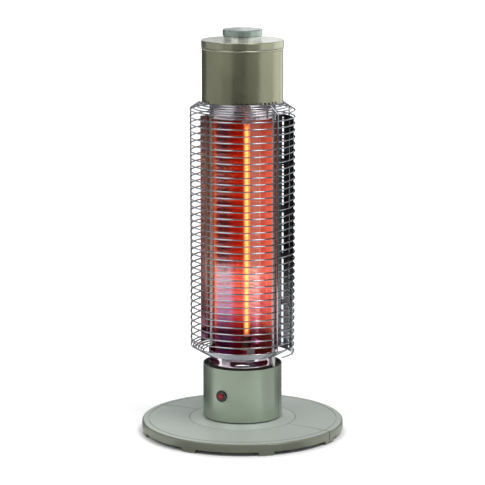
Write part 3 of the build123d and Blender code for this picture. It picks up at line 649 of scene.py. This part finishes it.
def lens_finish():
    """Clear red plastic over a small lamp."""
    finish, tree, shader = new_finish(
        "pilot_red",
        Roughness=0.12,
        Transmission_Weight=0.25,
        IOR=1.49,
        Emission_Strength=0.25,
    )
    low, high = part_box("pilot_lens")
    centre = Vector(((low[0] + high[0]) / 2, low[1], (low[2] + high[2]) / 2))
    reach = distance(tree, object_place(tree), centre)
    rim = change_range(tree, reach, 0.0, (high[0] - low[0]) / 2)
    body = mix_colour(tree, rim, srgb(158, 22, 30), srgb(70, 6, 10))
    glow = mix_colour(tree, rim, srgb(200, 24, 24), srgb(30, 0, 0))
    tree.links.new(body, shader.inputs["Base Color"])
    tree.links.new(glow, shader.inputs["Emission Color"])
    return finish


dress(lens_finish(), "pilot_lens")
print("pilot lens dressed")

# %% [markdown]
# ## Shape of the lamp's rope
# Inside the clear quartz tube runs a carbon rope. A plain rod would look like a painted line, so the
# rope is modelled: a section of three lobes that turns as it rises and narrows to a thin lead at each
# end. A mesh through many such sections, one above the other, is easy to write in bmesh and needs
# no modifier. It stays inside the bore of the tube.

# %% Rope shape
rope_radius = 0.0020
rope_lobe = 0.0004
rope_lobes = 3
rope_sides = 15
lead_radius = 0.0007
lead_length = 0.007
rope_taper = 0.006
rope_pitch = 0.016
rope_step = 0.0010
lamp_low, lamp_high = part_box("filament")
lamp_x = (lamp_low[0] + lamp_high[0]) / 2
lamp_y = (lamp_low[1] + lamp_high[1]) / 2
lamp_length = lamp_high[2] - lamp_low[2]


def finished_mesh(name, mesh):
    """Blender mesh from a bmesh, which is freed."""
    data = bpy.data.meshes.new(name)
    mesh.to_mesh(data)
    mesh.free()
    return data


def lofted_mesh(name, sections):
    """Closed mesh through loops of points, with a face over the first and over the last."""
    mesh = bmesh.new()
    loops = [[mesh.verts.new(point) for point in section] for section in sections]
    sides = len(loops[0])
    for lower, upper in zip(loops, loops[1:]):
        for k in range(sides):
            n = (k + 1) % sides
            mesh.faces.new((lower[k], lower[n], upper[n], upper[k]))
    mesh.faces.new(loops[0][::-1])
    mesh.faces.new(loops[-1])
    return finished_mesh(name, mesh)


def rope_share(z):
    """0 on the thin leads, 1 on the full rope, and a smooth taper between."""
    from_end = min(z - lamp_low[2], lamp_high[2] - z)
    share = min(max((from_end - lead_length) / rope_taper, 0.0), 1.0)
    return share * share * (3 - 2 * share)


def rope_section(z):
    """Points round the rope at a height, turned with the lay."""
    share, turn = rope_share(z), tau * (z - lamp_low[2]) / rope_pitch
    points = []
    for k in range(rope_sides):
        angle = tau * k / rope_sides
        full = rope_radius + rope_lobe * cos(rope_lobes * angle)
        radius = lead_radius + (full - lead_radius) * share
        points.append(
            (lamp_x + radius * cos(angle + turn), lamp_y + radius * sin(angle + turn), z)
        )
    return points


rope_steps = round(lamp_length / rope_step)
rope_mesh = lofted_mesh(
    "carbon_rope",
    [rope_section(lamp_low[2] + lamp_length * i / rope_steps) for i in range(rope_steps + 1)],
)
rope_mesh.shade_smooth()
carbon_rope = add_object("carbon_rope", rope_mesh)
print("rope faces:", len(rope_mesh.polygons))

# %% [markdown]
# ## Glow of the rope
# The rope glows yellow along the lamp and red where it nears its leads. That is an Emission that
# depends on the height alone: the distance from the lamp's middle, turned into a share of cooling,
# fades the hot colour out. A fine noise between two hot colours keeps the rope from looking like a
# tube of light. The rope replaces the plain rod of the frame and rides on the column.

# %% Rope glow
cooling_from = 0.020
cooling_to = 0.009
hot_low, hot_high = (1.0, 0.15, 0.020, 1.0), (1.0, 0.21, 0.034, 1.0)
cooled = (0.05, 0.002, 0.0, 1.0)


def glow_finish():
    """Carbon that glows yellow in the middle of the lamp and red at its ends."""
    finish, tree, shader = new_finish("carbon_glow", Roughness=0.7, Emission_Strength=4.8)
    place = object_place(tree)
    middle, half = (lamp_low[2] + lamp_high[2]) / 2, lamp_length / 2
    from_middle = calculate(tree, "SUBTRACT", axis_value(tree, place, "Z"), middle)
    cooling = change_range(
        tree,
        calculate(tree, "ABSOLUTE", from_middle),
        half - cooling_from,
        half - cooling_to,
        interpolation_type="SMOOTHSTEP",
    )
    grain = noise(tree, place, scale=700.0, detail=2.0)
    glow = mix_colour(tree, cooling, mix_colour(tree, grain, hot_low, hot_high), cooled)
    body = mix_colour(tree, grain, srgb(40, 36, 34), srgb(66, 60, 56))
    tree.links.new(glow, shader.inputs["Emission Color"])
    tree.links.new(body, shader.inputs["Base Color"])
    return finish


rope_mesh.materials.append(glow_finish())
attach(carbon_rope, "column")
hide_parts("filament")
print("rope finish:", rope_mesh.materials[0].name)

# %% [markdown]
# ## Quartz tube
# The tube is clear quartz, and near the glow its wall scatters some of the light, which gives the
# lamp its orange fringe. The glass is a Principled shader with full Transmission, and a weak orange
# Emission that fades at the cool ends stands for the scattered light.

# %% Quartz
fringe, no_fringe = (0.9, 0.16, 0.01, 1.0), (0.01, 0.0, 0.0, 1.0)
quartz_fringe = [(0.0, no_fringe), (0.08, fringe), (0.92, fringe), (1.0, no_fringe)]


def quartz_finish():
    """Clear quartz with an orange sheen where the rope glows."""
    finish, tree, shader = new_finish(
        "quartz_clear",
        Base_Color=(1.0, 0.97, 0.94, 1.0),
        Transmission_Weight=1.0,
        IOR=1.46,
        Emission_Strength=0.30,
    )
    height = axis_value(tree, object_place(tree), "Z")
    share = change_range(tree, height, lamp_low[2], lamp_high[2])
    gloss = place_group(tree, handling, {"Low": 0.02, "High": 0.08, "Scale": 60.0})
    tree.links.new(colour_ramp(tree, share, quartz_fringe), shader.inputs["Emission Color"])
    tree.links.new(gloss.outputs["Roughness"], shader.inputs["Roughness"])
    return finish


dress(quartz_finish(), "quartz_tube")
print("quartz dressed")

# %% [markdown]
# ## Shape of a cross-head screw
# Six screws hold the rear covers. A screw shows what it is by the cross in its head, so each is
# modelled: a shank with a low dome, spun from a profile, and a cross cut out of the head. The cross
# is two crossed bars, and a boolean takes them away more cleanly than faces set by hand would.

# %% Screw shape
screw_head_radius = 0.003
screw_head_height = 0.0018
screw_shank_radius = 0.0015
screw_sides = 32
dome_from = 0.45
dome_steps = 4
recess_width = 0.0009
recess_reach = 0.0021
recess_depth = 0.0011


def screw_profile(shank):
    """Radius and height of the screw from its tip to the top of its dome."""
    radius, height = screw_head_radius, screw_head_height
    profile = [(screw_shank_radius, -shank), (screw_shank_radius, 0.0), (radius, 0.0)]
    profile.append((radius, height * dome_from))
    for k in range(1, dome_steps + 1):
        lean = k / dome_steps * pi / 2
        drawn_in = (1 - dome_from) * (1 - cos(lean))
        profile.append((radius * (1 - drawn_in), height * (dome_from + (1 - dome_from) * sin(lean))))
    return profile


def spun_section(radius, z):
    """Points of a circle about Z."""
    turns = [tau * k / screw_sides for k in range(screw_sides)]
    return [(radius * cos(turn), radius * sin(turn), z) for turn in turns]


def recess_bars():
    """Two crossed bars that reach into the head."""
    mesh = bmesh.new()
    for turn in (0.0, pi / 2):
        bar = bmesh.ops.create_cube(mesh, size=1.0)["verts"]
        bmesh.ops.scale(mesh, verts=bar, vec=(2 * recess_reach, recess_width, 2 * recess_depth))
        bmesh.ops.rotate(mesh, verts=bar, cent=(0, 0, 0), matrix=Matrix.Rotation(turn, 3, "Z"))
        bmesh.ops.translate(mesh, verts=bar, vec=(0, 0, screw_head_height))
    return finished_mesh("recess_cutter", mesh)


def cross_head_screw(shank):
    """Mesh of a screw with its head on +Z, whose seat is the level z = 0."""
    sections = [spun_section(radius, z) for radius, z in screw_profile(shank)]
    blank = add_object("screw_blank", lofted_mesh("screw_blank", sections))
    cutter = add_object("recess_cutter", recess_bars())
    cut = blank.modifiers.new("cross", "BOOLEAN")
    cut.object = cutter
    cut.operation = "DIFFERENCE"
    cut.solver = "EXACT"
    cut.use_self = True
    bpy.context.view_layer.update()
    evaluated = blank.evaluated_get(bpy.context.evaluated_depsgraph_get())
    finished = bpy.data.meshes.new_from_object(evaluated)
    for item in (blank, cutter):
        bpy.data.objects.remove(item)
    return finished


print("screw head:", 2 * screw_head_radius, "across,", screw_head_height, "high")

# %% [markdown]
# ## Screws in their places
# The frame holds all six screws in one solid. Its loose parts give each screw's place: the middle of
# the head's seat, the way the head looks, and the length of the shank. The new screws stand exactly
# there. Nobody drives screws to the same angle, so each cross is turned a little further.

# %% Screws in place
first_turn = 20
next_turn = 47
weld_reach = 1e-6


def loose_parts(data):
    """Corner points of each separate shell of a mesh."""
    mesh = bmesh.new()
    mesh.from_mesh(data)
    bmesh.ops.remove_doubles(mesh, verts=mesh.verts, dist=weld_reach)
    mesh.verts.index_update()
    reached, parts = set(), []
    for start in mesh.verts:
        if start.index in reached:
            continue
        reached.add(start.index)
        front, part = [start], []
        while front:
            vertex = front.pop()
            part.append(vertex.co.copy())
            for edge in vertex.link_edges:
                other = edge.other_vert(vertex)
                if other.index not in reached:
                    reached.add(other.index)
                    front.append(other)
        parts.append(part)
    mesh.free()
    return parts


def middle_of(values):
    """Middle between the lowest and the highest value."""
    return (max(values) + min(values)) / 2


def rear_screw_places():
    """Middle of the head's seat, outward direction and shank's length of each screw."""
    places = []
    for part in loose_parts(nodes["rear_screws"].data):
        centre = sum(part, Vector()) / len(part)
        outward = Vector((centre.x, centre.y, 0)).normalized()
        across = Vector((-outward.y, outward.x, 0))
        reach = [point.dot(outward) for point in part]
        sideways = middle_of([point.dot(across) for point in part])
        level = middle_of([point.z for point in part])
        seat = max(reach) - screw_head_height
        place = outward * seat + across * sideways + Vector((0, 0, level))
        places.append((place, outward, seat - min(reach)))
    return places


screw_bright = bare_metal("screw_bright", srgb(198, 199, 200), level_lines, 0.18, 0.30)
for number, (place, outward, shank) in enumerate(rear_screw_places()):
    data = cross_head_screw(shank)
    data.materials.clear()
    data.materials.append(screw_bright)
    screw = add_object(f"rear_screw_{number + 1}", data)
    screw.matrix_world = (
        Matrix.Translation(place)
        @ outward.to_track_quat("Z", "Y").to_matrix().to_4x4()
        @ Matrix.Rotation(radians(first_turn + next_turn * number), 4, "Z")
    )
    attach(screw, "column")
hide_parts("rear_screws")

# %% [markdown]
# ## White world
# A packshot stands on white. Where the camera, a reflection or glass looks at the world, it is white,
# and as light on the heater it has a plain level. The Light Path node tells these rays apart, so one
# Background serves both.

# %% World
def seen_directly(tree):
    """1 for rays of the camera, of reflections and of glass, 0 for light that falls on things."""
    path = add_node(tree, "ShaderNodeLightPath").outputs
    either = calculate(tree, "MAXIMUM", path["Is Camera Ray"], path["Is Glossy Ray"])
    return calculate(tree, "MAXIMUM", either, path["Is Transmission Ray"])


world_light = 0.50
white = grey(1.0)
world = bpy.data.worlds.new("white_studio")
world.use_nodes = True
bpy.context.scene.world = world
bpy.context.scene.view_settings.view_transform = "Standard"
tree = world.node_tree
tree.links.new(
    mix_colour(tree, seen_directly(tree), grey(world_light), white),
    tree.nodes["Background"].inputs["Color"],
)
print("world ready:", world.name)

# %% [markdown]
# ## Floor
# The floor is a pale sheet that takes the heater's shadow, so large that its edge is never in the
# picture. Where it is seen directly, a little Emission lifts it to the white of the world. Under the
# base that lift ends, so that the slots of the rim show the dark that is really there. The lift also
# fades over a narrow band just outside the rim, set a little to the front and right: a painted
# contact shadow.

# %% Floor
floor_colour = grey(0.86)
floor_lift = 0.35
floor_reach = 60.0
# Painted contact shadow: round this centre, a little to the front and right of the axis, the lift fades
# from just inside the base's edge to just outside it.
shade_centre = (0.006, -0.010, 0.0)
shade_inside = 0.004
shade_outside = 0.012
base_radius = cad_box[1][0]

bpy.ops.mesh.primitive_plane_add(size=2 * floor_reach, location=(0, 0, 0))
floor = bpy.context.active_object
floor.name = "floor_sheet"
finish, tree, shader = new_finish(
    "floor_white",
    Base_Color=floor_colour,
    Emission_Color=white,
    Roughness=1.0,
    Specular_IOR_Level=0.0,
)
outside = change_range(
    tree,
    distance(tree, object_place(tree), shade_centre),
    base_radius - shade_inside,
    base_radius + shade_outside,
    to_high=floor_lift,
)
lift = calculate(tree, "MULTIPLY", seen_directly(tree), outside)
tree.links.new(lift, shader.inputs["Emission Strength"])
floor.data.materials.append(finish)
print("floor ready, lift ends at", round(base_radius, 3))

# %% [markdown]
# ## Lamps
# Two wide suns stand for the softboxes: the key from the right, a weaker one from the left front. A sun
# lights the whole floor evenly, so that it has no edge in the picture, and its wide angle makes
# the shadow soft.

# %% Lamps
def sun(name, bearing, elevation, strength, spread):
    """Wide sun that shines from a bearing, counted from the front to the right, and an elevation."""
    data = bpy.data.lights.new(name, "SUN")
    data.energy = strength
    data.angle = radians(spread)
    lamp = add_object(name, data)
    lamp.rotation_euler = (pi / 2 - radians(elevation), 0.0, radians(bearing))


sun("key_light", bearing=84, elevation=55, strength=1.7, spread=32)
sun("fill_light", bearing=-18, elevation=45, strength=0.8, spread=40)
print("lamps:", len(bpy.data.lights))

# %% [markdown]
# ## Dark cards
# Bright metal shows only what stands round it, and in an all-white room chrome looks like chalk.
# Photographers stand dark cards round such things. Ours show only in reflections: low ones round the
# front for the guard and the trough, narrow upright ones for the shells, slanted ones overhead for the
# wires, and a few flat on the floor, which the column, the rim and the trough see. Each row of the
# table is a card: its bearings from left to right, counted from the front, the distance and height
# of its two edges, and its shade.

# %% Cards
card_step = 5
on_floor = 0.001


def card_mesh(name, bearings, edges):
    """Sheet curved round the heater between two edges, each a distance and a height."""
    turn_from, turn_to = bearings
    steps = max(2, round((turn_to - turn_from) / card_step))
    mesh = bmesh.new()
    columns = []
    for i in range(steps + 1):
        turn = radians(turn_from + (turn_to - turn_from) * i / steps)
        columns.append([mesh.verts.new((r * sin(turn), -r * cos(turn), z)) for r, z in edges])
    for left, right in zip(columns, columns[1:]):
        mesh.faces.new((left[0], right[0], right[1], left[1]))
    return finished_mesh(name, mesh)


def reflection_card(name, bearings, edges, shade):
    """Card that only reflections see."""
    finish, *_ = new_finish(
        f"{name}_tone",
        Base_Color=grey(0.0),
        Emission_Color=grey(shade),
        Emission_Strength=1.0,
        Roughness=1.0,
        Specular_IOR_Level=0.0,
    )
    card = add_object(name, card_mesh(name, bearings, edges))
    card.data.materials.append(finish)
    card.visible_camera = False
    card.visible_diffuse = False
    card.visible_shadow = False
    card.visible_transmission = False


cards = [
    ("guard_card", (2, 74), ((0.5, 0.14), (0.5, 0.42)), 0.006),
    ("glow_card", (-62, 2), ((0.5, 0.14), (0.5, 0.42)), 0.20),
    ("head_card_dark", (2, 42), ((1.0, 0.30), (1.0, 0.62)), 0.02),
    ("head_card_right", (42, 80), ((1.0, 0.30), (1.0, 0.62)), 0.20),
    ("head_card_side", (80, 128), ((1.0, 0.30), (1.0, 0.55)), 0.74),
    ("head_card_front", (-26, 2), ((1.0, 0.30), (1.0, 0.6)), 0.24),
    ("head_card_left", (-90, -26), ((1.0, 0.30), (1.0, 0.6)), 0.38),
    ("far_card_left", (-176, -90), ((1.0, 0.30), (1.0, 0.66)), 0.05),
    ("far_card_low", (-216, -100), ((1.0, 0.0), (1.0, 0.12)), 0.04),
    ("rear_card", (130, 222), ((0.35, 0.20), (0.35, 0.45)), 0.03),
    ("floor_card_left", (-130, -58), ((0.17, on_floor), (0.75, on_floor)), 0.06),
    ("floor_card_right", (128, 185), ((0.17, on_floor), (0.75, on_floor)), 0.25),
    ("floor_card_side", (84, 122), ((0.25, on_floor), (0.60, on_floor)), 0.50),
    ("wire_card_front", (5, 66), ((1.0, 0.68), (0.45, 1.9)), 0.04),
    ("wire_card_left", (-100, -40), ((1.0, 0.68), (0.45, 1.9)), 0.04),
    ("wire_card_right", (92, 178), ((1.0, 0.95), (0.45, 1.9)), 0.03),
    ("side_card", (74, 112), ((0.25, 0.10), (0.25, 0.45)), 0.06),
    ("plate_card", (212, 262), ((0.3, 0.62), (0.3, 0.82)), 0.62),
    ("base_card", (216, 275), ((0.45, 0.04), (0.45, 0.35)), 0.42),
    ("rear_card_low", (203, 222), ((0.35, 0.06), (0.35, 0.20)), 0.03),
    ("floor_card_trough", (-40, 72), ((0.50, on_floor), (0.715, on_floor)), 0.08),
    ("floor_card_front", (-15, 75), ((0.157, on_floor), (0.23, on_floor)), 0.05),
]
for card_row in cards:
    reflection_card(*card_row)
print("cards:", len(cards))
